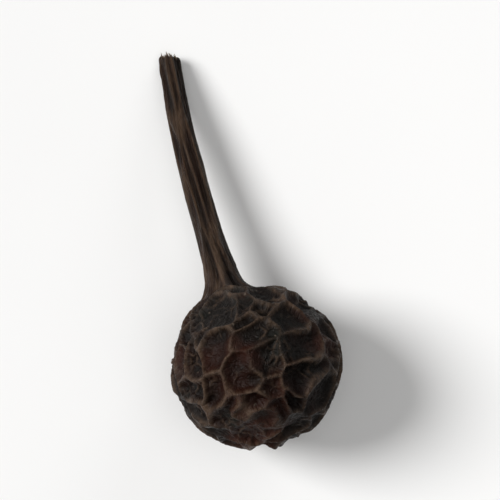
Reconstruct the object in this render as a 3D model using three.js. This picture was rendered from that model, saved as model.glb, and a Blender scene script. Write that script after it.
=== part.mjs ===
// One cubeb pepper, also called tailed pepper: a dried berry whose wrinkled skin runs out at its
// base into a stalk. It grew as one piece, so it is one solid. Millimetres, +Z up.
// The berry rests on a small flat spot, with the origin in the middle of that spot, and the stalk
// runs along +X and slopes down until its broken end touches the same surface.
import * as THREE from 'three';

// Driving dimensions of the fruit
const BERRY_WIDTH = 5.1;
const BERRY_LENGTH = 4.86;
const STALK_LENGTH = 7.8;
const STALK_WIDTH = 0.72;
const STALK_END_WIDTH = 0.62;

// Where the berry narrows into the stalk: down to the neck's width first, then to the stalk's, from
// where the stalk tapers slowly to its end. The pulls are the lengths of the first curve's handles.
const SHOULDER_ANGLE = THREE.MathUtils.degToRad(23);
const SHOULDER_PULL = 0.5;
const NECK_LENGTH = 1.3;
const NECK_WIDTH = 0.88;
const NECK_PULL = { along: 0.6, out: 0.04 };
const NARROWING = 1.6;

// How far the stalk bends away from the berry's own axis
const STALK_ARCH = 0.3;
const STALK_SIDE_BEND = -0.7;

// The net of raised wrinkles that drying leaves in the skin: cells between two widths, which sink
// in, and ridges along their borders, higher in some places than in others
const LEAST_CELL = 0.52;
const MOST_CELL = 1.05;
const CELL_SEED = 20;
const CELL_TRIES = 6000;
const RIDGE_HEIGHT = 0.16;
const RIDGE_WIDTH = 0.12;
const HOLLOW_DEPTH = 0.15;
const HOLLOW_EDGE = 0.27;
const SHALLOWEST_CELL = 0.3;
const STRENGTH = { usual: 0.8, change: 0.6, least: 0.15, most: 1.25, wavelength: 1.7 };
const BEND = { size: 0.32, wavelength: 2.1 };
const RIPPLE = { size: 0.1, wavelength: 0.7 };

// The same net along the stalk, where it is laid out on a short thick stalk and then drawn out. The
// skin starts to turn into the stalk's own a little before the shoulder.
const STALK_BLEND = 0.2;
const STALK_CELLS = 0.2;
const STALK_PATTERN_RADIUS = 0.9;
const STALK_PATTERN_SQUEEZE = 0.3;
const STALK_RELIEF = 0.42;
const STALK_RIDGE_WIDTH = 1.6;
const STALK_LUMPS = 0.3;

// Broad unevenness of the berry: lumps all over, and places where the skin sank in
const LUMP = { size: 0.09, wavelength: 4.2 };
const DENTS = [
  { direction: new THREE.Vector3(0.75, 0.62, -0.25), depth: 0.34, spread: 0.52 },
  { direction: new THREE.Vector3(0.35, -0.85, 0.35), depth: 0.26, spread: 0.45 },
  { direction: new THREE.Vector3(-0.5, 0.75, 0.4), depth: 0.2, spread: 0.4 },
];

// The dried remains of the stigmas at the apex: a low four-rayed point in a shallow ring
const STIGMA = { height: 0.2, radius: 0.3, rays: 4, rayDepth: 0.45 };
const APEX_RING = { radius: 0.62, width: 0.2, depth: 0.09 };

// The broken end of the stalk: slanted towards one turn about the axis, ragged, with a worn rim
// round a face that is a little hollow
const BREAK_LENGTH = 0.5;
const BREAK_SLANT = 0.35;
const BREAK_TURN = 0.6;
const BREAK_RAGGEDNESS = 0.07;
const RIM = { length: 0.15, shoulder: 0.9, width: 0.75 };
const FACE_HOLLOW = 0.1;

// How it lies: the flat spot is cut this deep, the relief fades out round it, and the stalk's end
// is turned down this far past the point where its middle line would meet the surface
const FLAT_SPOT_DEPTH = 0.15;
const CALM_RADIUS = 0.75;
const END_SINK = 0.07;

// Length of a triangle's edge on the berry and on the stalk, whose finer rings start a little before
// the neck's end, and the radius within which the relief fades out at both ends of the axis
const BERRY_EDGE = 0.145;
const STALK_EDGE = 0.15;
const STALK_RINGS_EARLY = 0.4;
const POLE_RADIUS = 0.1;

const halfLength = BERRY_LENGTH / 2;
const halfWidth = BERRY_WIDTH / 2;
const shoulder = new THREE.Vector2(
  halfLength * Math.cos(SHOULDER_ANGLE),
  halfWidth * Math.sin(SHOULDER_ANGLE),
);
const neckEnd = shoulder.x + NECK_LENGTH;
const stalkEnd = halfLength + STALK_LENGTH;
const centreHeight = halfWidth - FLAT_SPOT_DEPTH;
const slopeDown = Math.atan2(centreHeight - STALK_END_WIDTH / 2 + END_SINK, stalkEnd);
const restPoint = new THREE.Vector3(Math.cos(slopeDown), 0, Math.sin(slopeDown)).multiplyScalar(halfWidth);

// A repeatable random number from 0 to 1
function makeRandom(seed) {
  let state = seed >>> 0;
  return () => {
    state = (Math.imul(state, 1664525) + 1013904223) >>> 0;
    return state / 4294967296;
  };
}

// A smooth field of a point in space, from about -1 to 1, as a sum of plane waves
function makeWaves(seed, { wavelength }) {
  const random = makeRandom(seed);
  const count = 7;
  const shortest = 0.75;
  const longest = 1.35;
  const waves = Array.from({ length: count }, () => {
    const z = 2 * random() - 1;
    const turn = 2 * Math.PI * random();
    const flat = Math.sqrt(1 - z * z);
    const pitch = (2 * Math.PI) / (wavelength * THREE.MathUtils.lerp(shortest, longest, random()));
    const phase = 2 * Math.PI * random();
    return [flat * Math.cos(turn) * pitch, flat * Math.sin(turn) * pitch, z * pitch, phase];
  });
  return (p) => {
    let sum = 0;
    for (const [x, y, z, phase] of waves) sum += Math.sin(x * p.x + y * p.y + z * p.z + phase);
    return sum / Math.sqrt(2 * count);
  };
}

// The outline from the apex to the middle of the broken end, as (along the axis, out from it)
function makeOutline() {
  const slope = new THREE.Vector2(
    halfLength * Math.sin(SHOULDER_ANGLE),
    -halfWidth * Math.cos(SHOULDER_ANGLE),
  ).normalize();
  const neck = new THREE.Vector2(neckEnd, NECK_WIDTH / 2);
  const tip = new THREE.Vector2(stalkEnd - RIM.length, STALK_END_WIDTH / 2);
  const rim = new THREE.Vector2(stalkEnd, tip.y * RIM.width);
  const outline = new THREE.CurvePath();
  outline.add(new THREE.EllipseCurve(0, 0, halfLength, halfWidth, Math.PI, SHOULDER_ANGLE, true));
  outline.add(new THREE.CubicBezierCurve(
    shoulder,
    shoulder.clone().addScaledVector(slope, SHOULDER_PULL),
    new THREE.Vector2(neckEnd - NECK_PULL.along, neck.y + NECK_PULL.out),
    neck,
  ));
  outline.add(new THREE.SplineCurve([
    neck,
    new THREE.Vector2(neckEnd + NARROWING, STALK_WIDTH / 2),
    tip,
  ]));
  outline.add(new THREE.CubicBezierCurve(
    tip,
    new THREE.Vector2(stalkEnd, tip.y),
    new THREE.Vector2(stalkEnd, tip.y * RIM.shoulder),
    rim,
  ));
  outline.add(new THREE.LineCurve(rim, new THREE.Vector2(stalkEnd - FACE_HOLLOW, 0)));
  return outline;
}

// Where a point of the outline lies in the wrinkles' own space: as it is on the berry, and on a
// short thick stalk beyond it, so that the net draws out into ribs along the real stalk
function patternPoint(along, out, turn) {
  const beyond = Math.max(0, along - shoulder.x);
  const radius = along > 0 ? Math.max(out, STALK_PATTERN_RADIUS) : out;
  return new THREE.Vector3(
    radius * Math.cos(turn),
    radius * Math.sin(turn),
    along - beyond * (1 - STALK_PATTERN_SQUEEZE),
  );
}

// The cells of the net, scattered over the wrinkles' own space: over the whole berry, and over the
// short thick stalk that the real one is squeezed into
function scatterCells() {
  const random = makeRandom(CELL_SEED);
  const stalkSpan = (stalkEnd - shoulder.x) * STALK_PATTERN_SQUEEZE;
  const scattered = [];
  for (let i = 0; i < CELL_TRIES; i++) {
    const turn = 2 * Math.PI * random();
    const height = 2 * random() - 1;
    const depth = random();
    const width = THREE.MathUtils.lerp(LEAST_CELL, MOST_CELL, random());
    const onStalk = random() < STALK_CELLS;
    const radius = onStalk ? STALK_PATTERN_RADIUS : halfWidth * Math.sqrt(1 - height * height);
    const along = onStalk ? shoulder.x + stalkSpan * (height + 1) / 2 : halfLength * height;
    const middle = new THREE.Vector3(radius * Math.cos(turn), radius * Math.sin(turn), along);
    const isTooNear = (cell) => cell.middle.distanceTo(middle) < (cell.width + width) / 2;
    if (!scattered.some(isTooNear)) scattered.push({ middle, width, depth });
  }
  return scattered;
}

const outline = makeOutline();
const cells = scatterCells();
const bends = [1, 2, 3].map((seed) => makeWaves(seed, BEND));
const ripples = [6, 7, 8].map((seed) => makeWaves(seed, RIPPLE));
const lumps = makeWaves(4, LUMP);
const strengths = makeWaves(5, STRENGTH);

// How far the nearest border between two cells is, and how deep the cell lies. A wide cell pushes
// its borders out further than a narrow one.
function nearestBorder(point) {
  const reach = (cell) => cell.middle.distanceToSquared(point) - (cell.width / 2) ** 2;
  const reaches = cells.map(reach);
  const first = reaches.indexOf(Math.min(...reaches));
  const borders = cells.map((cell, i) => (
    i === first ? Infinity : (reaches[i] - reaches[first]) / (2 * cell.middle.distanceTo(cells[first].middle))
  ));
  return { border: Math.min(...borders), depth: cells[first].depth };
}

// Height of the skin over the smooth outline
function skinHeight(along, out, turn) {
  const point = patternPoint(along, out, turn);
  const shift = (i) => BEND.size * bends[i](point) + RIPPLE.size * ripples[i](point);
  const { border, depth } = nearestBorder(new THREE.Vector3(shift(0), shift(1), shift(2)).add(point));
  const onStalk = THREE.MathUtils.smoothstep(along, shoulder.x - STALK_BLEND, neckEnd);
  const width = RIDGE_WIDTH * THREE.MathUtils.lerp(1, STALK_RIDGE_WIDTH, onStalk);
  const ridge = Math.exp(-((border / width) ** 2));
  const hollow = 1 - Math.exp(-((border / HOLLOW_EDGE) ** 2));
  const rise = STRENGTH.usual + STRENGTH.change * strengths(point);
  const strength = THREE.MathUtils.clamp(rise, STRENGTH.least, STRENGTH.most);
  const relief = THREE.MathUtils.lerp(1, STALK_RELIEF, onStalk);
  const sunk = HOLLOW_DEPTH * (SHALLOWEST_CELL + depth) * hollow;
  let height = relief * (RIDGE_HEIGHT * strength * ridge - sunk);
  height += LUMP.size * THREE.MathUtils.lerp(1, STALK_LUMPS, onStalk) * lumps(point);
  for (const dent of DENTS) {
    const angle = point.angleTo(dent.direction);
    height -= dent.depth * (1 - onStalk) * Math.exp(-((angle / dent.spread) ** 2));
  }
  height *= 1 - Math.exp(-((point.distanceTo(restPoint) / CALM_RADIUS) ** 2));
  if (along < 0) {
    const from = (out / STIGMA.radius) ** 2;
    const rays = 1 + STIGMA.rayDepth * Math.min(1, from) * Math.cos(STIGMA.rays * turn);
    height += STIGMA.height * rays * Math.exp(-from);
    height -= APEX_RING.depth * Math.exp(-(((out - APEX_RING.radius) / APEX_RING.width) ** 2));
  }
  return height;
}

// The line through the middle of the fruit: straight in the berry, then bending with the stalk.
// Its +X side is the lower one once the fruit lies down.
function middleLine(along) {
  const share = Math.max(0, (along - shoulder.x) / (stalkEnd - shoulder.x));
  return new THREE.Vector3(
    -STALK_ARCH * Math.sin(Math.PI * share) * share,
    STALK_SIDE_BEND * share * share,
    along,
  );
}

// The point of the skin at an outline position and a turn about the axis
function skinPoint(position, turn) {
  const at = outline.getPointAt(position);
  const slope = outline.getTangentAt(position);
  const height = skinHeight(at.x, at.y, turn);
  const out = Math.max(0, at.y + height * slope.x * Math.min(1, at.y / POLE_RADIUS));
  const step = 0.01;
  const middle = middleLine(at.x);
  const ahead = middleLine(at.x + step).sub(middle).normalize();
  const down = new THREE.Vector3(1, 0, 0).addScaledVector(ahead, -ahead.x).normalize();
  const side = new THREE.Vector3().crossVectors(ahead, down);
  const nearEnd = THREE.MathUtils.smoothstep(at.x, stalkEnd - BREAK_LENGTH, stalkEnd);
  const ragged = BREAK_RAGGEDNESS * Math.sin(5 * turn + 1) * Math.sin(2 * turn);
  const broken = nearEnd * (BREAK_SLANT * out * Math.cos(turn - BREAK_TURN) + ragged);
  return middle
    .addScaledVector(ahead, broken - height * slope.y)
    .addScaledVector(down, out * Math.cos(turn))
    .addScaledVector(side, out * Math.sin(turn));
}

// Joins two rings of points, which may hold different numbers of points, by a strip of triangles
function joinRings(faces, first, second) {
  let i = 0;
  let j = 0;
  while (i < first.count || j < second.count) {
    const nextFirst = (i + 1 + first.shift) / first.count;
    const nextSecond = (j + 1 + second.shift) / second.count;
    const a = first.start + (i % first.count);
    const b = second.start + (j % second.count);
    if (j >= second.count || (i < first.count && nextFirst < nextSecond)) {
      i += 1;
      faces.push(a, first.start + (i % first.count), b);
    } else {
      j += 1;
      faces.push(a, second.start + (j % second.count), b);
    }
  }
}

// The whole skin: rings of points from the apex to the broken end, each with as many points as
// its girth needs, closed by one point at each end
function makeFruit() {
  const length = outline.getLength();
  const rings = [];
  const positions = [];
  let travelled = 0;
  while (travelled < length) {
    const at = outline.getPointAt(travelled / length);
    const isStalk = at.x > neckEnd - STALK_RINGS_EARLY;
    const isEnd = travelled === 0;
    const edge = isStalk ? STALK_EDGE : BERRY_EDGE;
    const ring = {
      start: positions.length / 3,
      count: isEnd ? 1 : Math.max(6, Math.round((2 * Math.PI * at.y) / edge)),
      shift: isEnd || isStalk ? 0 : 0.5 * (rings.length % 2),
      position: travelled / length,
    };
    rings.push(ring);
    for (let i = 0; i < ring.count; i++) {
      const point = skinPoint(ring.position, (2 * Math.PI * (i + ring.shift)) / ring.count);
      positions.push(point.x, point.y, point.z);
    }
    travelled += edge * Math.sqrt(0.75);
  }
  rings.push({ start: positions.length / 3, count: 1, shift: 0, position: 1 });
  const last = skinPoint(1, 0);
  positions.push(last.x, last.y, last.z);

  const faces = [];
  for (let i = 0; i + 1 < rings.length; i++) joinRings(faces, rings[i], rings[i + 1]);
  const kept = [];
  for (let i = 0; i < faces.length; i += 3) {
    const [a, b, c] = faces.slice(i, i + 3);
    if (a !== b && b !== c && a !== c) kept.push(a, b, c);
  }
  const geometry = new THREE.BufferGeometry();
  geometry.setAttribute('position', new THREE.Float32BufferAttribute(positions, 3));
  geometry.setIndex(kept);
  return geometry;
}

// Presses whatever would reach below the surface that the fruit lies on flat against it
function pressOnSurface(mesh) {
  mesh.updateMatrix();
  const back = mesh.matrix.clone().invert();
  const position = mesh.geometry.getAttribute('position');
  const point = new THREE.Vector3();
  for (let i = 0; i < position.count; i++) {
    point.fromBufferAttribute(position, i).applyMatrix4(mesh.matrix);
    if (point.z >= 0) continue;
    point.z = 0;
    point.applyMatrix4(back);
    position.setXYZ(i, point.x, point.y, point.z);
  }
  mesh.geometry.computeVertexNormals();
}

const skin = new THREE.MeshStandardMaterial({ color: 0x221b18, roughness: 0.72, metalness: 0 });
const fruit = new THREE.Mesh(makeFruit(), skin);
fruit.name = 'cubeb_fruit';
fruit.rotation.y = Math.PI / 2 + slopeDown;
fruit.position.z = centreHeight;
pressOnSurface(fruit);

const cubeb = new THREE.Group();
cubeb.add(fruit);

export default cubeb;
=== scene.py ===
"""A single dried cubeb pepper: a wrinkled berry drawn out at its base into a stalk with a torn end."""

import math

import bmesh
import bpy
import numpy as np
from bpy.props import FloatProperty, FloatVectorProperty, IntProperty, PointerProperty
from mathutils import Matrix, Vector


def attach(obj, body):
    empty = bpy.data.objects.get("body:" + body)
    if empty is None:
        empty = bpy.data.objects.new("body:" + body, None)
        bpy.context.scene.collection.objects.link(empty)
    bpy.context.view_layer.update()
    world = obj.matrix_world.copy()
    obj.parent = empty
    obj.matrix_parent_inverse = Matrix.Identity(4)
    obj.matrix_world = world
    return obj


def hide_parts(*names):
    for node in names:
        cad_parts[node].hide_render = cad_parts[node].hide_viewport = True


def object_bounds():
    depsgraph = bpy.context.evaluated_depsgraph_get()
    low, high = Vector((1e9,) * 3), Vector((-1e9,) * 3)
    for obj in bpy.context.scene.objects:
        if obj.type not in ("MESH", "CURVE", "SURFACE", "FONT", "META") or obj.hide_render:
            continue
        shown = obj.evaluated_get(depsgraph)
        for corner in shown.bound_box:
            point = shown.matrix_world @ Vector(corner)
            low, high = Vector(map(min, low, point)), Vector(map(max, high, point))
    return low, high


bl_info = {
    "name": "Cubeb Pepper",
    "version": (1, 0, 0),
    "blender": (4, 5, 0),
    "location": "View3D > Sidebar > Cubeb",
    "description": "Builds one dried cubeb pepper berry with its stalk",
    "category": "Add Mesh",
}

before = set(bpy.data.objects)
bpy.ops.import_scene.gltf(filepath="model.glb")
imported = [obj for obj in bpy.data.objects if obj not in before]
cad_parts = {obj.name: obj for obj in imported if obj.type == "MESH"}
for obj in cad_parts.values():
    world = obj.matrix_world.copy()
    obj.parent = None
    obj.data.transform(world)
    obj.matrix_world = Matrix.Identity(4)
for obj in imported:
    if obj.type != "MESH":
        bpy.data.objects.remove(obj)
CAD_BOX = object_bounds()
BODY = "root"
NODE = "cubeb_fruit"
MM = 0.001

# Driving dimensions of the fruit, in millimetres, as in the solid
BERRY_WIDTH = 5.1
BERRY_LENGTH = 4.86
STALK_LENGTH = 7.8
STALK_WIDTH = 0.72
STALK_END_WIDTH = 0.62
SHOULDER_ANGLE = math.radians(23)
SHOULDER_PULL = 0.5
NECK_LENGTH = 1.3
NECK_WIDTH = 0.88
NECK_PULL = (0.6, 0.04)
NARROWING = 1.6
STALK_ARCH = 0.3
STALK_SIDE_BEND = -0.7

# The net of raised wrinkles: cells that sank in, and ridges along their borders
LEAST_CELL = 0.52
MOST_CELL = 1.05
CELL_SEED = 20
CELL_TRIES = 6000
RIDGE_HEIGHT = 0.16
RIDGE_WIDTH = 0.12
HOLLOW_DEPTH = 0.15
HOLLOW_EDGE = 0.27
SHALLOWEST_CELL = 0.3

# How the ridges' strength changes from place to place
USUAL_STRENGTH = 0.8
STRENGTH_CHANGE = 0.6
STRENGTH_LIMITS = (0.15, 1.25)
STRENGTH_WAVELENGTH = 1.7
STRENGTH_SEED = 5

# How far long and short waves bend the net's borders, with a seed for each axis
BEND = 0.32
BEND_WAVELENGTH = 2.1
BEND_SEEDS = (1, 2, 3)
RIPPLE = 0.1
RIPPLE_WAVELENGTH = 0.7
RIPPLE_SEEDS = (6, 7, 8)

# The same net along the stalk, laid out on a short thick stalk and then drawn out
STALK_BLEND = 0.2
STALK_CELLS = 0.2
STALK_PATTERN_RADIUS = 0.9
STALK_PATTERN_SQUEEZE = 0.3
STALK_RELIEF = 0.42
STALK_RIDGE_WIDTH = 1.6
STALK_LUMPS = 0.3

# Broad unevenness: lumps, and places where the skin sank in, as (direction, depth, spread)
LUMP = 0.09
LUMP_WAVELENGTH = 4.2
LUMP_SEED = 4
DENTS = (
    ((0.75, 0.62, -0.25), 0.34, 0.52),
    ((0.35, -0.85, 0.35), 0.26, 0.45),
    ((-0.5, 0.75, 0.4), 0.2, 0.4),
)

# The dried stigmas at the apex: a low four-rayed point in a shallow ring
STIGMA_HEIGHT = 0.2
STIGMA_RADIUS = 0.3
STIGMA_RAYS = 4
RAY_DEPTH = 0.45
RING_RADIUS = 0.62
RING_WIDTH = 0.2
RING_DEPTH = 0.09

# The stalk's broken end: a slanted, hollow face with a ragged rim
BREAK_LENGTH = 0.5
BREAK_SLANT = 0.35
BREAK_TURN = 0.6
BREAK_RAGGEDNESS = 0.07
RAGGED_WAVES = (5, 2)
RAGGED_TURN = 1
RIM_LENGTH = 0.15
RIM_SHOULDER = 0.9
RIM_WIDTH = 0.75
FACE_HOLLOW = 0.1
FACE_LENGTH = 0.3
FACE_SLOPE = -0.9

# Where the relief fades out: round the resting point, in the middle of the broken face, on the axis
REST_CALM = 0.75
FACE_CALM = 0.22
AXIS_CALM = 0.1

# How the fruit lies: on a small flat spot, with the end of its stalk pressed a little into the surface
FLAT_SPOT_DEPTH = 0.15
END_SINK = 0.07

# How much further apart along the stalk, and closer together round it, the skin's points lie
RIB_STRETCH = 1.8

HALF_LENGTH = BERRY_LENGTH / 2
HALF_WIDTH = BERRY_WIDTH / 2
SHOULDER = (HALF_LENGTH * math.cos(SHOULDER_ANGLE), HALF_WIDTH * math.sin(SHOULDER_ANGLE))
NECK_END = SHOULDER[0] + NECK_LENGTH
STALK_END = HALF_LENGTH + STALK_LENGTH
CENTRE_HEIGHT = HALF_WIDTH - FLAT_SPOT_DEPTH
SLOPE_DOWN = math.atan2(CENTRE_HEIGHT - STALK_END_WIDTH / 2 + END_SINK, STALK_END)
REST_POINT = (HALF_WIDTH * math.cos(SLOPE_DOWN), 0, HALF_WIDTH * math.sin(SLOPE_DOWN))

# Where the lights shine from, and the colour of the light from all round
KEY_FROM = (3.2, 4.6, 5.0)
TOP_FROM = (-1.0, -1.0, 8.0)
RIM_FROM = (4.0, -5.0, 2.4)
SKY_COLOUR = (1, 0.995, 0.985, 1)

# How far the surface reaches and the camera sees, in half diagonals of the fruit's box
FLOOR_REACH = 60
CLIP_REACH = (0.01, 200)

# Kinds of socket
GEOMETRY = "NodeSocketGeometry"
MATERIAL = "NodeSocketMaterial"
FLOAT = "NodeSocketFloat"
INTEGER = "NodeSocketInt"
VECTOR = "NodeSocketVector"
COLOUR = "NodeSocketColor"


# The skin's shape, worked out in millimetres


def make_random(seed):
    """A repeatable random number from 0 to 1 at each call."""
    multiplier = 1664525
    increment = 1013904223
    modulus = 2**32
    state = seed

    def draw():
        nonlocal state
        state = (state * multiplier + increment) % modulus
        return state / modulus

    return draw


def make_waves(seed, wavelength):
    """A smooth field of points in space, from about -1 to 1, as a sum of plane waves."""
    random = make_random(seed)
    count = 7
    shortest = 0.75
    longest = 1.35
    pitches = []
    phases = []
    for _ in range(count):
        z = 2 * random() - 1
        turn = 2 * math.pi * random()
        flat = math.sqrt(1 - z * z)
        pitch = 2 * math.pi / (wavelength * (shortest + (longest - shortest) * random()))
        phases.append(2 * math.pi * random())
        pitches.append((flat * math.cos(turn) * pitch, flat * math.sin(turn) * pitch, z * pitch))
    pitches = np.array(pitches).T
    return lambda points: np.sin(points @ pitches + phases).sum(axis=1) / math.sqrt(2 * count)


def wave_vectors(points, wavelength, seeds):
    """A smooth field of directions, with waves of its own for each axis."""
    return np.column_stack([make_waves(seed, wavelength)(points) for seed in seeds])


def smoothstep(value, low, high):
    """Rises smoothly from 0 at the low value to 1 at the high one."""
    share = np.clip((value - low) / (high - low), 0, 1)
    return share * share * (3 - 2 * share)


def bezier(p0, p1, p2, p3, count=80):
    """Points along a cubic curve from the first to the last of its four points."""
    t = np.linspace(0, 1, count)[:, None]
    p0, p1, p2, p3 = (np.array(p, float) for p in (p0, p1, p2, p3))
    return (1 - t) ** 3 * p0 + 3 * (1 - t) ** 2 * t * p1 + 3 * (1 - t) * t * t * p2 + t**3 * p3


def spline(points, count=80):
    """A smooth line through the points, with each end point repeated."""
    points = np.array([points[0], *points, points[-1]], float)
    t = np.linspace(0, 1, count, endpoint=False)[:, None]
    runs = []
    for p0, p1, p2, p3 in zip(points, points[1:], points[2:], points[3:]):
        v0 = (p2 - p0) / 2
        v1 = (p3 - p1) / 2
        cubic = 2 * p1 - 2 * p2 + v0 + v1
        square = 3 * p2 - 3 * p1 - 2 * v0 - v1
        runs.append(cubic * t**3 + square * t * t + v0 * t + p1)
    return np.vstack([*runs, points[-1:]])


class Outline:
    """The line from the apex to the middle of the broken end, as (along the axis, out from it)."""

    def __init__(self):
        berry_points = 500
        face_points = 40
        least_step = 1e-6
        slope = np.array((HALF_LENGTH * math.sin(SHOULDER_ANGLE), -HALF_WIDTH * math.cos(SHOULDER_ANGLE)))
        slope /= np.linalg.norm(slope)
        neck = np.array((NECK_END, NECK_WIDTH / 2))
        before_neck = neck + (-NECK_PULL[0], NECK_PULL[1])
        tip = (STALK_END - RIM_LENGTH, STALK_END_WIDTH / 2)
        rim = (STALK_END, tip[1] * RIM_WIDTH)
        angles = np.linspace(math.pi, SHOULDER_ANGLE, berry_points)
        lines = [
            np.column_stack((HALF_LENGTH * np.cos(angles), HALF_WIDTH * np.sin(angles))),
            bezier(SHOULDER, np.array(SHOULDER) + SHOULDER_PULL * slope, before_neck, neck),
            spline([neck, (NECK_END + NARROWING, STALK_WIDTH / 2), tip]),
            bezier(tip, (STALK_END, tip[1]), (STALK_END, tip[1] * RIM_SHOULDER), rim),
            np.linspace(rim, (STALK_END - FACE_HOLLOW, 0), face_points),
        ]
        points = np.vstack(lines)
        points[0, 1] = 0
        steps = np.linalg.norm(np.diff(points, axis=0), axis=1)
        self.points = points[np.concatenate(([True], steps > least_step))]
        steps = np.linalg.norm(np.diff(self.points, axis=0), axis=1)
        self.travelled = np.concatenate(([0], np.cumsum(steps)))
        self.length = self.travelled[-1]
        slopes = np.gradient(self.points, self.travelled, axis=0)
        self.slopes = slopes / np.linalg.norm(slopes, axis=1)[:, None]

    def at(self, travelled):
        return [np.interp(travelled, self.travelled, self.points[:, i]) for i in (0, 1)]

    def slope(self, travelled):
        return [np.interp(travelled, self.travelled, self.slopes[:, i]) for i in (0, 1)]


def pattern_points(along, out, turn):
    """Where points lie in the wrinkles' own space: a short thick stalk stands for the long thin one."""
    beyond = np.maximum(0, along - SHOULDER[0])
    radius = np.where(along > 0, np.maximum(out, STALK_PATTERN_RADIUS), out)
    return np.column_stack((
        radius * np.cos(turn),
        radius * np.sin(turn),
        along - beyond * (1 - STALK_PATTERN_SQUEEZE),
    ))


def scatter_cells():
    """The net's cells, scattered over the wrinkles' space: the middle, width and depth of each."""
    random = make_random(CELL_SEED)
    span = (STALK_END - SHOULDER[0]) * STALK_PATTERN_SQUEEZE
    cells = []
    for _ in range(CELL_TRIES):
        turn = 2 * math.pi * random()
        height = 2 * random() - 1
        depth = random()
        width = LEAST_CELL + (MOST_CELL - LEAST_CELL) * random()
        on_stalk = random() < STALK_CELLS
        radius = STALK_PATTERN_RADIUS if on_stalk else HALF_WIDTH * math.sqrt(1 - height * height)
        along = SHOULDER[0] + span * (height + 1) / 2 if on_stalk else HALF_LENGTH * height
        point = (radius * math.cos(turn), radius * math.sin(turn), along)
        if any(math.dist(point, other) < (width + girth) / 2 for other, girth, _ in cells):
            continue
        cells.append((point, width, depth))
    middles, widths, depths = zip(*cells)
    return np.array(middles), np.array(widths), np.array(depths)


def nearest_border(points):
    """For each point, how far the nearest border between two cells is, and how deep its own cell lies.

    A cell's own size is taken off the squared distance to its middle, so that a wide cell gets more room.
    """
    middles, widths, depths = scatter_cells()
    reaches = (points**2).sum(1)[:, None] - 2 * points @ middles.T + (middles**2).sum(1) - widths**2 / 4
    first = reaches.argmin(1)
    apart = np.linalg.norm(middles[:, None] - middles[None], axis=2)
    np.fill_diagonal(apart, 1)
    borders = (reaches - reaches.min(1)[:, None]) / (2 * apart[first])
    borders[np.arange(len(points)), first] = np.inf
    return borders.min(1), depths[first]


def skin_height(along, out, turn):
    """The skin's height over the smooth outline, and what colours and fine wrinkles follow."""
    points = pattern_points(along, out, turn)
    bend = BEND * wave_vectors(points, BEND_WAVELENGTH, BEND_SEEDS)
    ripple = RIPPLE * wave_vectors(points, RIPPLE_WAVELENGTH, RIPPLE_SEEDS)
    border, cell_depth = nearest_border(points + bend + ripple)
    on_stalk = smoothstep(along, SHOULDER[0] - STALK_BLEND, NECK_END)
    width = RIDGE_WIDTH * (1 + (STALK_RIDGE_WIDTH - 1) * on_stalk)
    ridge = np.exp(-((border / width) ** 2))
    hollow = 1 - np.exp(-((border / HOLLOW_EDGE) ** 2))
    change = STRENGTH_CHANGE * make_waves(STRENGTH_SEED, STRENGTH_WAVELENGTH)(points)
    strength = np.clip(USUAL_STRENGTH + change, *STRENGTH_LIMITS)
    relief = 1 + (STALK_RELIEF - 1) * on_stalk
    sunk = HOLLOW_DEPTH * (SHALLOWEST_CELL + cell_depth) * hollow
    height = relief * (RIDGE_HEIGHT * strength * ridge - sunk)
    lump = LUMP * (1 + (STALK_LUMPS - 1) * on_stalk)
    height += lump * make_waves(LUMP_SEED, LUMP_WAVELENGTH)(points)
    height = sink_dents(height, points, 1 - on_stalk)
    from_rest = np.linalg.norm(points - REST_POINT, axis=1)
    height *= 1 - np.exp(-((from_rest / REST_CALM) ** 2))
    on_apex_side = along < 0
    share = (out / STIGMA_RADIUS) ** 2
    rays = 1 + RAY_DEPTH * np.minimum(1, share) * np.cos(STIGMA_RAYS * turn)
    stigma = rays * np.exp(-share) * on_apex_side
    height += STIGMA_HEIGHT * stigma
    height -= RING_DEPTH * np.exp(-(((out - RING_RADIUS) / RING_WIDTH) ** 2)) * on_apex_side
    return height, {
        "pattern": points,
        "ridge": ridge * strength,
        "border": border,
        # the cell's depth, which the skin's colour turns into painted shade
        "cell_shade_depth": cell_depth,
        "on_stalk": on_stalk,
        "stigma": stigma,
    }


def sink_dents(height, points, share):
    """Lowers the skin where it sank in, by the share that each point gets."""
    least_length = 1e-9
    lengths = np.maximum(np.linalg.norm(points, axis=1), least_length)
    for direction, depth, spread in DENTS:
        direction = np.array(direction) / np.linalg.norm(direction)
        angle = np.arccos(np.clip(points @ direction / lengths, -1, 1))
        height = height - depth * share * np.exp(-((angle / spread) ** 2))
    return height


def middle_line(along):
    """The line through the middle of the fruit: straight in the berry, then bending with the stalk."""
    share = np.maximum(0, (along - SHOULDER[0]) / (STALK_END - SHOULDER[0]))
    arch = -STALK_ARCH * np.sin(math.pi * share) * share
    return np.column_stack((arch, STALK_SIDE_BEND * share * share, along))


def middle_frame(along):
    """Points of the middle line, and the directions ahead, down and to the side at each."""
    small_step = 0.01
    middle = middle_line(along)
    ahead = middle_line(along + small_step) - middle
    ahead /= np.linalg.norm(ahead, axis=1)[:, None]
    down = np.array((1.0, 0, 0)) - ahead * ahead[:, :1]
    down /= np.linalg.norm(down, axis=1)[:, None]
    return middle, ahead, down, np.cross(ahead, down)


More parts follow.
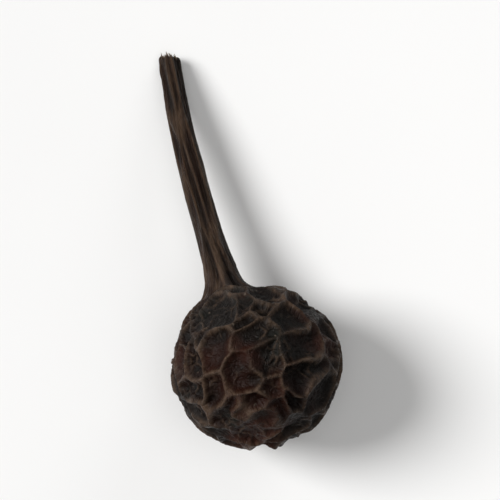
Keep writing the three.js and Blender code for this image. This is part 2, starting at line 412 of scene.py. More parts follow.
def skin_points(outline, travelled, turn):
    """Points of the skin, lying as the solid lies, and the facts that go with each."""
    along, out = outline.at(travelled)
    slope_along, slope_out = outline.slope(travelled)
    height, facts = skin_height(along, out, turn)
    calm = np.where(along > 0, smoothstep(out, 0, FACE_CALM), 1)
    height *= calm
    reach = np.maximum(0, out + height * slope_along * np.minimum(1, out / AXIS_CALM))
    near_end = smoothstep(along, STALK_END - BREAK_LENGTH, STALK_END)
    first_wave = np.sin(RAGGED_WAVES[0] * turn + RAGGED_TURN)
    ragged = calm * BREAK_RAGGEDNESS * first_wave * np.sin(RAGGED_WAVES[1] * turn)
    broken = near_end * (BREAK_SLANT * reach * np.cos(turn - BREAK_TURN) + ragged)
    middle, ahead, down, side = middle_frame(along)
    points = (
        middle
        + ahead * (broken - height * slope_out)[:, None]
        + down * (reach * np.cos(turn))[:, None]
        + side * (reach * np.sin(turn))[:, None]
    )
    turned = Matrix.Rotation(math.pi / 2 + SLOPE_DOWN, 3, "Y")
    points = points @ np.array(turned).T + (0, 0, CENTRE_HEIGHT)
    points[:, 2] = np.maximum(points[:, 2], 0)
    facts["break_face"] = (slope_out < FACE_SLOPE) & (along > STALK_END - FACE_LENGTH)
    return points, facts


def ring_places(outline, edge):
    """Where the rings of points lie along the outline, and how close together the points of each are.

    The stalk's ribs are long and narrow, so its rings are further apart and their points closer together.
    """
    samples = 6000
    row_height = math.sqrt(0.75)
    travelled = np.linspace(0, outline.length, samples)
    along = outline.at(travelled)[0]
    on_stalk = smoothstep(along, SHOULDER[0], NECK_END)
    before_rim = 1 - smoothstep(along, STALK_END - BREAK_LENGTH, STALK_END - RIM_LENGTH)
    steps = edge * row_height * (1 + (RIB_STRETCH - 1) * on_stalk * before_rim)
    passed = np.concatenate(([0], np.cumsum(np.diff(travelled) / steps[1:])))
    rings = np.linspace(0, passed[-1], math.ceil(passed[-1]) + 1)
    places = np.interp(rings, passed, travelled)
    gaps = edge / (1 + (RIB_STRETCH - 1) * np.interp(places, travelled, on_stalk))
    return places, gaps


def join_rings(faces, first, second):
    """Joins two rings of points, which may hold different numbers of points, by triangles."""
    i = j = 0
    while i < first["count"] or j < second["count"]:
        next_first = (i + 1 + first["shift"]) / first["count"]
        next_second = (j + 1 + second["shift"]) / second["count"]
        a = first["start"] + i % first["count"]
        b = second["start"] + j % second["count"]
        if j >= second["count"] or (i < first["count"] and next_first < next_second):
            i += 1
            face = (a, first["start"] + i % first["count"], b)
        else:
            j += 1
            face = (a, second["start"] + j % second["count"], b)
        if len(set(face)) == 3:
            faces.append(face)


def skin_mesh(name, edge):
    """The whole skin as rings of points from the apex to the broken end, in metres."""
    least_count = 6
    outline = Outline()
    rings = []
    travelled = []
    turns = []
    places, gaps = ring_places(outline, edge)
    girths = outline.at(places)[1]
    for number, (place, girth, gap) in enumerate(zip(places, girths, gaps)):
        is_end = number in (0, len(places) - 1)
        count = 1 if is_end else max(least_count, round(2 * math.pi * girth / gap))
        shift = 0 if is_end or gap < edge else 0.5 * (number % 2)
        rings.append({"start": len(turns), "count": count, "shift": shift})
        travelled.extend([place] * count)
        turns.extend(2 * math.pi * (i + shift) / count for i in range(count))
    points, facts = skin_points(outline, np.array(travelled), np.array(turns))
    faces = []
    for first, second in zip(rings, rings[1:]):
        join_rings(faces, first, second)
    mesh = bpy.data.meshes.new(name)
    mesh.from_pydata(points * MM, [], faces)
    for key, values in facts.items():
        kind = "FLOAT_VECTOR" if values.ndim == 2 else "FLOAT"
        field = "vector" if values.ndim == 2 else "value"
        stored = mesh.attributes.new(key, kind, "POINT")
        stored.data.foreach_set(field, values.astype(np.float32).ravel())
    mesh.shade_smooth()
    return mesh


# Node trees


class Tree:
    """A node tree with short ways to add and link nodes. Ranges are pairs of a low and a high value."""

    spacing = 180

    def __init__(self, tree):
        self.tree = tree
        self.column = 0

    def add(self, kind, inputs=None, **settings):
        node = self.tree.nodes.new(kind)
        node.location = (self.spacing * self.column, 0)
        self.column += 1
        for key, value in settings.items():
            setattr(node, key, value)
        for key, value in (inputs or {}).items():
            if isinstance(value, bpy.types.NodeSocket):
                self.tree.links.new(value, node.inputs[key])
            else:
                node.inputs[key].default_value = value
        return node

    def out(self, kind, inputs=None, **settings):
        """The first output of a new node."""
        return self.add(kind, inputs, **settings).outputs[0]

    def math(self, operation, *values, clamp=False):
        kind = "ShaderNodeMath"
        return self.out(kind, dict(enumerate(values)), operation=operation, use_clamp=clamp)

    def plus(self, first, second):
        return self.math("ADD", first, second)

    def minus(self, first, second):
        return self.math("SUBTRACT", first, second)

    def times(self, first, second):
        return self.math("MULTIPLY", first, second)

    def over(self, first, second):
        return self.math("DIVIDE", first, second)

    def vector(self, operation, first, second):
        return self.out("ShaderNodeVectorMath", {0: first, 1: second}, operation=operation)

    def scaled(self, vector, scale):
        return self.out("ShaderNodeVectorMath", {0: vector, "Scale": scale}, operation="SCALE")

    def xyz(self, x, y, z):
        return self.out("ShaderNodeCombineXYZ", {0: x, 1: y, 2: z})

    def grey(self, value):
        return self.out("ShaderNodeCombineColor", {0: value, 1: value, 2: value})

    def noise(self, vector, scale, detail=3.0, roughness=0.5, output="Fac"):
        inputs = {"Vector": vector, "Scale": scale, "Detail": detail, "Roughness": roughness}
        return self.add("ShaderNodeTexNoise", inputs).outputs[output]

    def cell_border(self, vector, scale):
        """How far the nearest border between scattered cells is."""
        inputs = {"Vector": vector, "Scale": scale, "Randomness": 1.0}
        return self.out("ShaderNodeTexVoronoi", inputs, feature="DISTANCE_TO_EDGE")

    def remap(self, value, before, after=(0.0, 1.0), smooth=True):
        """Takes one range of a value to another, and stops at its ends."""
        inputs = {"Value": value, "From Min": before[0], "From Max": before[1],
                  "To Min": after[0], "To Max": after[1]}
        style = "SMOOTHSTEP" if smooth else "LINEAR"
        return self.out("ShaderNodeMapRange", inputs, interpolation_type=style)

    def mix(self, share, first, second, blend="MIX"):
        """Mixes two colours, by the sockets that the node keeps for colours."""
        inputs = {0: share, 6: first, 7: second}
        return self.add("ShaderNodeMix", inputs, data_type="RGBA", blend_type=blend).outputs[2]


def open_group(name, kind, output, inputs):
    """Starts a node group with one output and named inputs, each as (name, kind of socket, default)."""
    group = bpy.data.node_groups.new(name, kind)
    for label, socket_kind, default in inputs:
        socket = group.interface.new_socket(label, in_out="INPUT", socket_type=socket_kind)
        if default is not None:
            socket.default_value = default
    label, socket_kind = output
    group.interface.new_socket(label, in_out="OUTPUT", socket_type=socket_kind)
    return Tree(group), group.nodes.new("NodeGroupInput").outputs


def close_group(tree, result):
    """Links the result to the group's output, and returns the group."""
    group = tree.tree
    group.links.new(result, group.nodes.new("NodeGroupOutput").inputs[0])
    return group


def fill_inputs(modifier, values):
    """Sets a Geometry Nodes modifier's inputs, named as in the tree."""
    sockets = {
        item.name: item.identifier
        for item in modifier.node_group.interface.items_tree
        if item.item_type == "SOCKET" and item.in_out == "INPUT"
    }
    for name, value in values.items():
        modifier[sockets[name]] = value


def add_object(name, data):
    """A new object in the scene."""
    made = bpy.data.objects.new(name, data)
    bpy.context.scene.collection.objects.link(made)
    return made


def settle(source, name, tree, values):
    """Runs a Geometry Nodes tree on an object and returns the result as a plain mesh object."""
    modifier = source.modifiers.new(tree.name, "NODES")
    modifier.node_group = tree
    fill_inputs(modifier, values)
    bpy.context.view_layer.update()
    evaluated = source.evaluated_get(bpy.context.evaluated_depsgraph_get())
    mesh = bpy.data.meshes.new_from_object(evaluated)
    source.modifiers.remove(modifier)
    mesh.name = name
    return add_object(name, mesh)


def named(tree, name, kind="FLOAT"):
    """A value that the mesh keeps at each point, for a Geometry Nodes tree."""
    return tree.out("GeometryNodeInputNamedAttribute", {"Name": name}, data_type=kind)


def end_geometry(tree, geometry, material):
    """Moves whatever lies under the surface up to it, and ends the tree with plain geometry."""
    place = tree.out("GeometryNodeInputPosition")
    parts = tree.add("ShaderNodeSeparateXYZ", {0: place}).outputs
    lying = tree.xyz(parts[0], parts[1], tree.math("MAXIMUM", parts[2], 0.0))
    pressed = tree.out("GeometryNodeSetPosition", {"Geometry": geometry, "Position": lying})
    whole = tree.out("GeometryNodeRealizeInstances", {"Geometry": pressed})
    done = tree.out("GeometryNodeSetMaterial", {"Geometry": whole, "Material": material})
    return close_group(tree, done)


def fine_net(tree, place, ridge, spacing):
    """A finer net between the ridges: a wide-celled one and a close one, which come and go."""
    bend_scale = 1.6
    bend_size = 0.5
    closeness_and_line = ((1.0, 0.18), (2.3, 0.24))
    fade_scale = 0.9
    fade_range = (0.35, 0.65)
    fade = (0.1, 1.0)
    ridge_share = 0.75
    noise_middle = (0.5, 0.5, 0.5)
    bend = tree.noise(place, bend_scale, detail=2.0, output="Color")
    bend = tree.scaled(tree.vector("SUBTRACT", bend, noise_middle), bend_size)
    bent = tree.vector("ADD", place, bend)
    pitch = tree.over(1.0, spacing)
    nets = []
    for closeness, line_width in closeness_and_line:
        border = tree.cell_border(bent, tree.times(pitch, closeness))
        faded = tree.remap(tree.noise(place, fade_scale * closeness, detail=2.0), fade_range, fade)
        net = tree.times(tree.remap(border, (0.0, line_width), (1.0, 0.0)), faded)
        nets.append(tree.over(net, closeness))
    room = tree.minus(1.0, tree.times(ridge, ridge_share))
    return tree.times(tree.plus(*nets), room)


def crest_line(tree, ridge):
    """A sharp line along each ridge, left out on the weakest and kept low on the strongest."""
    line_width = 0.085
    weak = (0.25, 0.7)
    strong = (0.75, 1.2)
    strong_share = 0.3
    sharp = tree.remap(named(tree, "border"), (0.0, line_width), (1.0, 0.0))
    crest = tree.times(sharp, tree.remap(ridge, weak))
    return tree.times(crest, tree.remap(ridge, strong, (1.0, strong_share)))


def wrinkle_tree():
    """Raises the fine wrinkles, crests and grain, given in millimetres, and presses the skin flat below."""
    tree, given = open_group("Fine wrinkles", "GeometryNodeTree", ("Geometry", GEOMETRY), [
        ("Geometry", GEOMETRY, None),
        ("Wrinkle Spacing", FLOAT, 0.4),
        ("Wrinkle Height", FLOAT, 0.07),
        ("Grain Size", FLOAT, 0.12),
        ("Grain Height", FLOAT, 0.06),
        ("Crest Height", FLOAT, 0.04),
        ("Stalk Share", FLOAT, 0.5),
        ("Seed", FLOAT, 3.0),
        ("Material", MATERIAL, None),
    ])
    usual_fine = 0.35
    usual_grain = 0.5
    evening = 0.12
    ridge = named(tree, "ridge")
    shifted = tree.vector("ADD", named(tree, "pattern", "FLOAT_VECTOR"), given["Seed"])
    fine = fine_net(tree, shifted, ridge, given["Wrinkle Spacing"])
    grain = tree.noise(shifted, tree.over(1.0, given["Grain Size"]), roughness=0.6)
    height = tree.plus(
        tree.times(tree.minus(fine, usual_fine), given["Wrinkle Height"]),
        tree.times(tree.minus(grain, usual_grain), given["Grain Height"]),
    )
    height = tree.plus(height, tree.times(crest_line(tree, ridge), given["Crest Height"]))
    share = tree.remap(named(tree, "on_stalk"), (0.0, 1.0), (1.0, given["Stalk Share"]))
    height = tree.times(height, share)
    normal = tree.out("GeometryNodeInputNormal")
    offset = tree.scaled(normal, tree.times(height, MM))
    inputs = {"Geometry": given["Geometry"], "Name": "fine", "Value": fine}
    stored = tree.out("GeometryNodeStoreNamedAttribute", inputs, data_type="FLOAT", domain="POINT")
    raised = tree.out("GeometryNodeSetPosition", {"Geometry": stored, "Offset": offset})
    place = tree.out("GeometryNodeInputPosition")
    inputs = {"Value": place, "Iterations": 1, "Weight": evening}
    even = tree.out("GeometryNodeBlurAttribute", inputs, data_type="FLOAT_VECTOR")
    evened = tree.out("GeometryNodeSetPosition", {"Geometry": raised, "Position": even})
    return end_geometry(tree, evened, given["Material"])


def fibre_strand(tree, length, thickness):
    """One torn fibre: a pointed strand that is rooted a little under the face."""
    root_share = 0.4
    points = 5
    sides = 6
    tip_share = 0.15
    start = tree.scaled((0.0, 0.0, -1.0), tree.times(length, root_share))
    end = tree.scaled((0.0, 0.0, 1.0), length)
    line = tree.out("GeometryNodeCurvePrimitiveLine", {"Start": start, "End": end})
    line = tree.out("GeometryNodeResampleCurve", {"Curve": line, "Count": points})
    share = tree.out("GeometryNodeSplineParameter")
    taper = tree.remap(share, (0.0, 1.0), (1.0, tip_share), smooth=False)
    inputs = {"Resolution": sides, "Radius": tree.over(thickness, 2.0)}
    section = tree.out("GeometryNodeCurvePrimitiveCircle", inputs)
    inputs = {"Curve": line, "Profile Curve": section, "Scale": taper, "Fill Caps": True}
    return tree.out("GeometryNodeCurveToMesh", inputs)


def fibre_tree():
    """Sets torn fibres on the stalk's broken face, leaning a little each its own way."""
    tree, given = open_group("Torn fibres", "GeometryNodeTree", ("Geometry", GEOMETRY), [
        ("Geometry", GEOMETRY, None),
        ("Spacing", FLOAT, 0.00004),
        ("Length", FLOAT, 0.00015),
        ("Thickness", FLOAT, 0.00006),
        ("Lean", FLOAT, 0.2),
        ("Direction", VECTOR, (1.0, 0.0, 0.0)),
        ("Seed", INTEGER, 4),
        ("Material", MATERIAL, None),
    ])
    most_in_a_square_metre = 4.0e8
    most_spin = 3.0
    least_size = 0.2
    most_size = 1.0
    seed = given["Seed"]
    inputs = {
        "Mesh": given["Geometry"],
        "Selection": tree.math("GREATER_THAN", named(tree, "break_face"), 0.5),
        "Distance Min": given["Spacing"],
        "Density Max": most_in_a_square_metre,
        "Seed": seed,
    }
    roots = tree.out("GeometryNodeDistributePointsOnFaces", inputs, distribute_method="POISSON")
    strand = fibre_strand(tree, given["Length"], given["Thickness"])
    aimed = tree.out("FunctionNodeAlignRotationToVector", {"Vector": given["Direction"]}, axis="Z")
    lean = given["Lean"]
    other_way = tree.times(lean, -1.0)
    inputs = {
        "Min": tree.xyz(other_way, other_way, -most_spin),
        "Max": tree.xyz(lean, lean, most_spin),
        "Seed": seed,
    }
    angles = tree.out("FunctionNodeRandomValue", inputs, data_type="FLOAT_VECTOR")
    leaning = tree.out("FunctionNodeEulerToRotation", {0: angles})
    inputs = {"Rotation": aimed, "Rotate By": leaning}
    turned = tree.out("FunctionNodeRotateRotation", inputs, rotation_space="LOCAL")
    inputs = {2: least_size, 3: most_size, "Seed": seed}
    size = tree.add("FunctionNodeRandomValue", inputs, data_type="FLOAT").outputs[1]
    inputs = {"Points": roots, "Instance": strand, "Rotation": turned, "Scale": size}
    placed = tree.out("GeometryNodeInstanceOnPoints", inputs)
    whole = tree.out("GeometryNodeRealizeInstances", {"Geometry": placed})
    return end_geometry(tree, whole, given["Material"])


# Materials


def mottle_group():
    """Patches of three tones that run into each other over a surface."""
    tree, given = open_group("Mottling", "ShaderNodeTree", ("Color", COLOUR), [
        ("Vector", VECTOR, None),
        ("Patch Size", FLOAT, 1.0),
        ("Base", COLOUR, (0.03, 0.02, 0.015, 1)),
        ("Warm", COLOUR, (0.06, 0.025, 0.015, 1)),
        ("Cool", COLOUR, (0.03, 0.03, 0.025, 1)),
    ])
    warm_range = (0.42, 0.66)
    cool_range = (0.5, 0.72)
    cool_closeness = 1.7
    cool_shift = (17.0, 5.0, 9.0)
    scale = tree.over(1.0, given["Patch Size"])
    warm = tree.noise(given["Vector"], scale, detail=4.0, roughness=0.6)
    moved = tree.vector("ADD", given["Vector"], cool_shift)
    cool = tree.noise(moved, tree.times(scale, cool_closeness), detail=5.0, roughness=0.65)
    colour = tree.mix(tree.remap(warm, warm_range), given["Base"], given["Warm"])
    return close_group(tree, tree.mix(tree.remap(cool, cool_range), colour, given["Cool"]))


def speck_group():
    """Small scattered specks, each a little different in size, as a mask."""
    tree, given = open_group("Specks", "ShaderNodeTree", ("Mask", FLOAT), [
        ("Vector", VECTOR, None),
        ("Spacing", FLOAT, 0.3),
        ("Size", FLOAT, 0.2),
        ("Amount", FLOAT, 0.5),
    ])
    soft_edge = (0.0, 0.5)
    scale = tree.over(1.0, given["Spacing"])
    inputs = {"Vector": given["Vector"], "Scale": scale, "Randomness": 1.0}
    spots = tree.add("ShaderNodeTexVoronoi", inputs).outputs
    chosen = tree.add("ShaderNodeSeparateColor", {0: spots["Color"]}).outputs
    size = tree.times(given["Size"], chosen[1])
    near = tree.math("SUBTRACT", 1.0, tree.over(spots["Distance"], size), clamp=True)
    picked = tree.math("LESS_THAN", chosen[0], given["Amount"])
    return close_group(tree, tree.times(tree.remap(near, soft_edge), picked))


def grain_group():
    """The height of a fine dry grain, crossed by shallow creases, with small pits in it."""
    tree, given = open_group("Dry grain", "ShaderNodeTree", ("Height", FLOAT), [
        ("Vector", VECTOR, None),
        ("Grain Size", FLOAT, 0.05),
        ("Crease Spacing", FLOAT, 0.1),
        ("Crease Depth", FLOAT, 0.6),
        ("Pit Spacing", FLOAT, 0.12),
        ("Pit Depth", FLOAT, 0.5),
    ])
    bend_share = 0.9
    crease_width = 0.16
    pit_width = 0.45
    place = given["Vector"]
    fine = tree.noise(place, tree.over(1.0, given["Grain Size"]), detail=4.0, roughness=0.65)
    pitch = tree.over(1.0, given["Crease Spacing"])
    bend = tree.noise(place, pitch, detail=1.0, output="Color")
    bent = tree.vector("ADD", place, tree.scaled(bend, tree.times(given["Crease Spacing"], bend_share)))
    crease = tree.remap(tree.cell_border(bent, pitch), (0.0, crease_width), (1.0, 0.0))
    inputs = {"Vector": place, "Scale": tree.over(1.0, given["Pit Spacing"])}
    pits = tree.add("ShaderNodeTexVoronoi", inputs).outputs["Distance"]
    pits = tree.remap(pits, (0.0, pit_width), (1.0, 0.0))
    height = tree.minus(fine, tree.times(pits, given["Pit Depth"]))
    return close_group(tree, tree.minus(height, tree.times(crease, given["Crease Depth"])))


def streak_group():
    """Fine lengthwise streaks, as a mask that runs from 0 to 1."""
    tree, given = open_group("Streaks", "ShaderNodeTree", ("Mask", FLOAT), [
        ("Vector", VECTOR, None),
        ("Width", FLOAT, 0.15),
        ("Stretch", FLOAT, 5.0),
    ])
    streak_range = (0.3, 0.7)
    squeeze = tree.xyz(1.0, 1.0, tree.over(1.0, given["Stretch"]))
    place = tree.vector("MULTIPLY", given["Vector"], squeeze)
    streaks = tree.noise(place, tree.over(1.0, given["Width"]), detail=4.0, roughness=0.6)
    return close_group(tree, tree.remap(streaks, streak_range))


def attribute(tree, name, output="Fac"):
    """A value that the mesh keeps at each point, for a material."""
    return tree.add("ShaderNodeAttribute", attribute_name=name, attribute_type="GEOMETRY").outputs[output]


def use(tree, group, inputs):
    """What a group puts out for the given inputs."""
    return tree.out("ShaderNodeGroup", inputs, node_tree=group)


def solid(colour):
    """The colour with full cover."""
    return (*colour, 1.0)


def new_material(name):
    """A material, its tree, the sockets of its one shader, and what links to them."""
    material = bpy.data.materials.new(name)
    material.use_nodes = True
    material.node_tree.nodes.clear()
    tree = Tree(material.node_tree)
    output = tree.add("ShaderNodeOutputMaterial")
    shader = tree.add("ShaderNodeBsdfPrincipled")
    link = material.node_tree.links.new
    link(shader.outputs[0], output.inputs[0])
    return material, tree, shader.inputs, link


def skin_colour(tree, pattern, streaks, specks, colours):
    """Patches of tone, with painted shade darkening the deep cells and the hollows, paler on the ridges as
    dusty wear with painted highlight and on the fine net as painted highlight, browner on the stalk, pale
    where torn.
    """
    berry_patch = 2.2
    stalk_patch = 1.1
    streak_tones = (0.6, 1.35)
    deep_cell_shade = (1.15, 0.75)
    hollow_shade_range = (0.05, 0.3)
    hollow_shade = (1.0, 0.6)
    fine_highlight_share = 0.7
    crest_range = (0.2, 0.95)
    wear_and_highlight_scale = 2.6
    wear_and_highlight_range = (0.36, 0.62)
    wear_and_highlight_shares = (0.15, 1.0)
    speck_strength = 0.45
    on_stalk = attribute(tree, "on_stalk")
    mottle = mottle_group()

    def patches(size, base, warm, cool):
        tones = {"Base": solid(base), "Warm": solid(warm), "Cool": solid(cool)}
        return use(tree, mottle, {"Vector": pattern, "Patch Size": size, **tones})

    berry = patches(berry_patch, colours.skin, colours.warm_skin, colours.cool_skin)
    stalk = patches(stalk_patch, colours.stalk, colours.stalk_warm, colours.stalk_dark)
    light = tree.remap(streaks, (0.0, 1.0), streak_tones, smooth=False)
    stalk = tree.mix(1.0, stalk, tree.grey(light), "MULTIPLY")
    colour = tree.mix(on_stalk, berry, stalk)
    # Painted shade: the deeper cells, and the hollows away from the ridges, are painted darker
    shade = tree.remap(attribute(tree, "cell_shade_depth"), (0.0, 1.0), deep_cell_shade, smooth=False)
    shade = tree.times(shade, tree.remap(attribute(tree, "border"), hollow_shade_range, hollow_shade))
    colour = tree.mix(1.0, colour, tree.grey(shade), "MULTIPLY")
    # Paler tops of the ridges and the stigma: dusty wear, with painted highlight; paler lines of the fine
    # net: painted highlight
    crest = tree.math("MAXIMUM", attribute(tree, "ridge"), tree.times(attribute(tree, "fine"), fine_highlight_share))
    crest = tree.math("MAXIMUM", crest, attribute(tree, "stigma"))
    wear_and_highlight_patches = tree.noise(pattern, wear_and_highlight_scale, detail=6.0, roughness=0.75)
    crest = tree.times(tree.remap(crest, crest_range), tree.remap(wear_and_highlight_patches, wear_and_highlight_range, wear_and_highlight_shares))
    pale_wear_and_highlight = tree.mix(on_stalk, solid(colours.ridge), solid(colours.stalk_ridge))
    colour = tree.mix(tree.times(crest, colours.ridge_strength), colour, pale_wear_and_highlight)
    colour = tree.mix(tree.times(specks, speck_strength), colour, solid(colours.dust))
    return tree.mix(attribute(tree, "break_face"), colour, solid(colours.torn))


def skin_material(colours):
    """Dried fruit skin: patchy and matt, with a dry grain, and fine furrows along the stalk."""
    material, tree, sockets, link = new_material("dried_cubeb_skin")
    rough_scale = 5.0
    rough_range = (0.3, 0.7)
    roughness = (0.38, 0.62)
    ridge_gloss = 0.06
    speck_roughness = 0.15
    bump_height = 0.03 * MM
    pattern = attribute(tree, "pattern", "Vector")
    streaks = use(tree, streak_group(), {"Vector": pattern, "Width": 0.13, "Stretch": 5.0})
    specks = use(tree, speck_group(), {"Vector": pattern, "Spacing": 0.2, "Size": 0.24, "Amount": 0.2})
    link(skin_colour(tree, pattern, streaks, specks, colours), sockets["Base Color"])
    uneven = tree.noise(pattern, rough_scale, detail=4.0, roughness=0.6)
    rough = tree.remap(uneven, rough_range, roughness)
    rough = tree.minus(rough, tree.times(attribute(tree, "ridge"), ridge_gloss))
    rough = tree.math("ADD", rough, tree.times(specks, speck_roughness), clamp=True)
    link(rough, sockets["Roughness"])
    grain = use(tree, grain_group(), {
        "Vector": pattern,
        "Grain Size": 0.07,
        "Crease Spacing": 0.19,
        "Crease Depth": 0.45,
        "Pit Spacing": 0.16,
        "Pit Depth": 0.35,
    })
    height = tree.plus(grain, tree.times(streaks, attribute(tree, "on_stalk")))
    inputs = {"Height": height, "Distance": bump_height, "Strength": 1.0}
    link(tree.out("ShaderNodeBump", inputs), sockets["Normal"])
    sockets["Specular IOR Level"].default_value = 0.12
    return material


def fibre_material(colours):
    """Pale torn wood in two tones."""
    material, tree, sockets, link = new_material("torn_fibre")
    streak_scale = 9000.0
    streak_range = (0.3, 0.7)
    place = tree.add("ShaderNodeTexCoord").outputs["Object"]
    streaks = tree.remap(tree.noise(place, streak_scale), streak_range)
    link(tree.mix(streaks, solid(colours.torn), solid(colours.fibre)), sockets["Base Color"])
    sockets["Roughness"].default_value = 0.8
    return material


def floor_material(stage):
    """A plain pale surface with the faintest clouding."""
    material, tree, sockets, link = new_material("pale_surface")
    cloud_scale = 40.0
    cloud_range = (0.3, 0.7)
    cloud_tones = (0.97, 1.0)
    place = tree.add("ShaderNodeTexCoord").outputs["Object"]
    cloud = tree.remap(tree.noise(place, cloud_scale), cloud_range, cloud_tones)
    link(tree.mix(1.0, tree.grey(cloud), solid(stage.floor_colour), "MULTIPLY"), sockets["Base Color"])
    sockets["Roughness"].default_value = 0.9
    sockets["Specular IOR Level"].default_value = 0.0
    return material


# What a user would change


def a_number(name, description, default, **settings):
    """A setting with a number for its value."""
    return FloatProperty(name=name, description=description, default=default, **settings)


def a_length(name, description, default, **limits):
    """A setting in metres, shown finely enough for parts of a millimetre."""
    return a_number(name, description, default, unit="LENGTH", precision=6, **limits)


def a_share(name, description, default, least=0.0):
    """A setting between its least share and the whole."""
    return a_number(name, description, default, subtype="FACTOR", min=least, max=1.0)


def an_angle(name, description, default):
    """A setting in radians."""
    return a_number(name, description, default, subtype="ANGLE")


def a_colour(name, description, default):
    """A setting with a colour for its value."""
    return FloatVectorProperty(name=name, description=description, default=default, subtype="COLOR")


class CubebSkinSettings(bpy.types.PropertyGroup):
    """Sizes of the skin's fine relief, which leave the fruit's own size as it is"""

    edge: a_length("Mesh spacing", "Distance between points of the skin", 0.0345 * MM, min=0.03 * MM)
    wrinkle_spacing: a_length("Fine wrinkle spacing", "Cell width of the finer net", 0.42 * MM, min=0.1 * MM)
    wrinkle_height: a_length("Fine wrinkle height", "Height of the finer net", 0.068 * MM, min=0.0)
    stalk_share: a_share("Relief on the stalk", "Share of the fine relief that the stalk gets", 0.5)
    crest_height: a_length("Crest height", "Height of the sharp line on each ridge", 0.036 * MM, min=0.0)
    grain_size: a_length("Grain size", "Width of the skin's grain", 0.13 * MM, min=0.05 * MM)
    grain_height: a_length("Grain height", "Height of the skin's grain", 0.056 * MM, min=0.0)
    seed: IntProperty(name="Seed", description="Chooses where the fine wrinkles fall", default=3)


class CubebFibreSettings(bpy.types.PropertyGroup):
    """Sizes of the torn fibres"""

    spacing: a_length("Spacing", "Least distance between two torn fibres", 0.042 * MM)
    length: a_length("Length", "Length of the longest fibre", 0.15 * MM)
    thickness: a_length("Thickness", "Thickness of a fibre at its root", 0.064 * MM)
    lean: an_angle("Lean", "How far a fibre may lean", 0.22)
    seed: IntProperty(name="Seed", description="Chooses where the fibres stand", default=4)


class CubebColours(bpy.types.PropertyGroup):
    """Colours of the skin, the stalk and the torn end"""

    skin: a_colour("Skin", "Main colour of the dried skin", (0.0076, 0.0046, 0.0032))
    warm_skin: a_colour("Warm skin", "Redder patches", (0.028, 0.0084, 0.0046))
    cool_skin: a_colour("Cool skin", "Greyer patches", (0.0078, 0.0078, 0.0058))
    # the ridges' paler colour is dusty wear, and painted highlight as well
    ridge: a_colour("Ridges", "Dusty tops of the ridges", (0.082, 0.052, 0.034))
    ridge_strength: a_share("Ridge strength", "How far the ridges take their own colour", 0.8)
    stalk: a_colour("Stalk", "Main colour of the stalk", (0.0185, 0.0100, 0.0060))
    stalk_warm: a_colour("Stalk, warm", "Redder patches of the stalk", (0.031, 0.0136, 0.0075))
    stalk_dark: a_colour("Stalk, dark", "Darker patches of the stalk", (0.0080, 0.0048, 0.0034))
    # the ribs' paler tops are wear, and painted highlight as well
    stalk_ridge: a_colour("Stalk ribs", "Tops of the stalk's ribs", (0.070, 0.042, 0.025))
    dust: a_colour("Dust", "Pale specks in the skin", (0.15, 0.12, 0.095))
    torn: a_colour("Torn face", "The stalk's broken face", (0.075, 0.048, 0.03))
    fibre: a_colour("Fibre", "Torn fibres", (0.19, 0.13, 0.08))


class CubebStage(bpy.types.PropertyGroup):
    """The surface, the lights and the camera"""

    azimuth: an_angle("Camera azimuth", "Which way round the camera stands", -1.915)
    elevation: an_angle("Camera elevation", "How high the camera looks down from", 1.54)
    lens: a_number("Lens", "Focal length", 180.0, unit="CAMERA")
    share: a_share("Filling", "Share of the picture's height that the fruit fills", 0.8, least=0.1)
    floor_colour: a_colour("Floor", "Colour of the surface", (0.915, 0.912, 0.905))
    key: a_number("Key light", "Strength of the main light", 3.0)
    top: a_number("Top light", "Strength of the wide light overhead", 0.7)
    rim: a_number("Rim light", "Strength of the low light from the other side", 0.5)
    softness: an_angle("Softness", "How wide the main light looks", 0.45)
    sky: a_number("Sky", "Strength of the light from all round", 0.16)
    backdrop: a_number("Backdrop", "Brightness beyond the surface", 0.96)


# The operators


def in_mm(length):
    """A setting's length in millimetres, free of the setting's own rounding."""
    digits = 6
    return round(length / MM, digits)


class CUBEB_OT_skin(bpy.types.Operator):
    """Builds the berry and its stalk as one skin with fine wrinkles"""

    bl_idname = "cubeb.build_skin"
    bl_label = "Berry and stalk"

    def execute(self, context):
        scene = context.scene
        sizes = scene.cubeb_skin
        base = add_object("skin_base", skin_mesh("skin_base", sizes.edge / MM))
        fruit = settle(base, "cubeb_fruit_skin", wrinkle_tree(), {
            "Wrinkle Spacing": in_mm(sizes.wrinkle_spacing),
            "Wrinkle Height": in_mm(sizes.wrinkle_height),
            "Grain Size": in_mm(sizes.grain_size),
            "Grain Height": in_mm(sizes.grain_height),
            "Crest Height": in_mm(sizes.crest_height),
            "Stalk Share": sizes.stalk_share,
            "Seed": float(sizes.seed),
            "Material": skin_material(scene.cubeb_colours),
        })
        bpy.data.objects.remove(base)
        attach(fruit, BODY)
        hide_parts(NODE)
        return {"FINISHED"}


class CUBEB_OT_fibres(bpy.types.Operator):
    """Sets torn fibres on the broken end of the stalk"""

    bl_idname = "cubeb.build_fibres"
    bl_label = "Torn fibres"

    def execute(self, context):
        scene = context.scene
        sizes = scene.cubeb_fibres
        direction = Vector((math.cos(SLOPE_DOWN), 0, -math.sin(SLOPE_DOWN)))
        fibres = settle(bpy.data.objects["cubeb_fruit_skin"], "torn_fibres", fibre_tree(), {
            "Spacing": sizes.spacing,
            "Length": sizes.length,
            "Thickness": sizes.thickness,
            "Lean": sizes.lean,
            "Direction": direction,
            "Seed": sizes.seed,
            "Material": fibre_material(scene.cubeb_colours),
        })
        if not fibres.data.polygons:
            raise RuntimeError("no fibre was set on the broken end")
        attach(fibres, BODY)
        return {"FINISHED"}


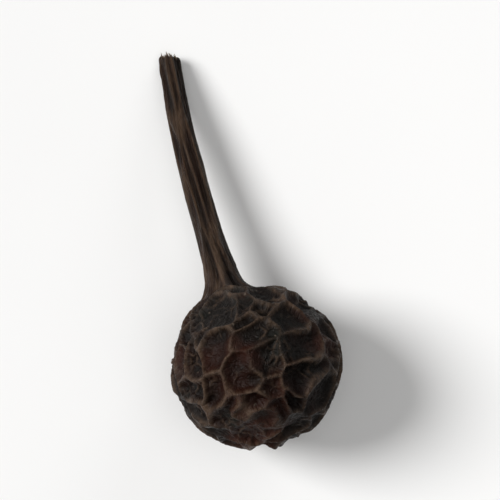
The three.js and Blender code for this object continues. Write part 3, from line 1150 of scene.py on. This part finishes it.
class CUBEB_OT_stage(bpy.types.Operator):
    """Makes the surface, the lights and the camera"""

    bl_idname = "cubeb.build_stage"
    bl_label = "Surface, lights and camera"

    def execute(self, context):
        scene = context.scene
        stage = scene.cubeb_stage
        middle = (CAD_BOX[0] + CAD_BOX[1]) / 2
        reach = (CAD_BOX[1] - CAD_BOX[0]).length / 2
        self.make_floor(stage, reach)
        self.make_light("key", stage.key, KEY_FROM, stage.softness)
        self.make_light("top", stage.top, TOP_FROM, 2 * stage.softness)
        self.make_light("rim", stage.rim, RIM_FROM, stage.softness)
        self.make_sky(scene, stage)
        self.make_camera(scene, stage, middle, reach)
        return {"FINISHED"}

    def make_floor(self, stage, reach):
        mesh = bpy.data.meshes.new("surface")
        shape = bmesh.new()
        bmesh.ops.create_grid(shape, x_segments=1, y_segments=1, size=FLOOR_REACH * reach)
        shape.to_mesh(mesh)
        shape.free()
        mesh.materials.append(floor_material(stage))
        floor = add_object("surface", mesh)

    def make_light(self, name, strength, place, width):
        data = bpy.data.lights.new(name, "SUN")
        data.energy = strength
        data.angle = width
        light = add_object(name, data)
        light.rotation_mode = "QUATERNION"
        light.rotation_quaternion = Vector(place).to_track_quat("Z", "Y")

    def make_sky(self, scene, stage):
        """A dim light from all round, in front of a bright backdrop"""
        world = bpy.data.worlds.new("soft_light")
        world.use_nodes = True
        tree = Tree(world.node_tree)
        seen = tree.add("ShaderNodeLightPath").outputs["Is Camera Ray"]
        strength = tree.remap(seen, (0.0, 1.0), (stage.sky, stage.backdrop), smooth=False)
        background = world.node_tree.nodes["Background"]
        background.inputs["Color"].default_value = SKY_COLOUR
        world.node_tree.links.new(strength, background.inputs["Strength"])
        scene.world = world
        scene.view_settings.view_transform = "Standard"

    def make_camera(self, scene, stage, middle, reach):
        """A camera that looks at the middle of the fruit's outline and fits it into the picture"""
        data = bpy.data.cameras.new("camera")
        data.lens = stage.lens
        camera = add_object("camera", data)
        azimuth = stage.azimuth
        elevation = stage.elevation
        flat = math.cos(elevation)
        back = Vector((math.sin(azimuth) * flat, -math.cos(azimuth) * flat, math.sin(elevation)))
        right = Vector((math.cos(azimuth), math.sin(azimuth), 0))
        axes = (right, back.cross(right))
        points = [point.co for point in bpy.data.objects[NODE].data.vertices]
        spans = [[axis.dot(point - middle) for point in points] for axis in axes]
        aim = middle + sum(((max(s) + min(s)) / 2 * axis for s, axis in zip(spans, axes)), Vector())
        half = max(max(s) - min(s) for s in spans) / 2
        distance = half / stage.share / (data.sensor_width / 2 / data.lens)
        camera.location = aim + back * distance
        camera.rotation_mode = "QUATERNION"
        camera.rotation_quaternion = (-back).to_track_quat("-Z", "Y")
        data.clip_start = reach * CLIP_REACH[0]
        data.clip_end = reach * CLIP_REACH[1]
        scene.camera = camera


class CUBEB_PT_panel(bpy.types.Panel):
    """Lists what builds the cubeb"""

    bl_label = "Cubeb"
    bl_idname = "CUBEB_PT_panel"
    bl_space_type = "VIEW_3D"
    bl_region_type = "UI"
    bl_category = "Cubeb"

    def draw(self, context):
        for operator in OPERATORS:
            self.layout.operator(operator.bl_idname)
        for name, settings in SETTINGS.items():
            box = self.layout.box()
            for key in settings.__annotations__:
                box.prop(getattr(context.scene, name), key)


SETTINGS = {
    "cubeb_skin": CubebSkinSettings,
    "cubeb_fibres": CubebFibreSettings,
    "cubeb_colours": CubebColours,
    "cubeb_stage": CubebStage,
}
OPERATORS = (CUBEB_OT_stage, CUBEB_OT_skin, CUBEB_OT_fibres)
CLASSES = (*SETTINGS.values(), *OPERATORS, CUBEB_PT_panel)


def register():
    for item in CLASSES:
        bpy.utils.register_class(item)
    for name, group in SETTINGS.items():
        setattr(bpy.types.Scene, name, PointerProperty(type=group))


def unregister():
    for name in SETTINGS:
        delattr(bpy.types.Scene, name)
    for item in reversed(CLASSES):
        bpy.utils.unregister_class(item)


def main():
    register()
    bpy.ops.cubeb.build_stage()
    bpy.ops.cubeb.build_skin()
    bpy.ops.cubeb.build_fibres()


if __name__ == "__main__":
    main()
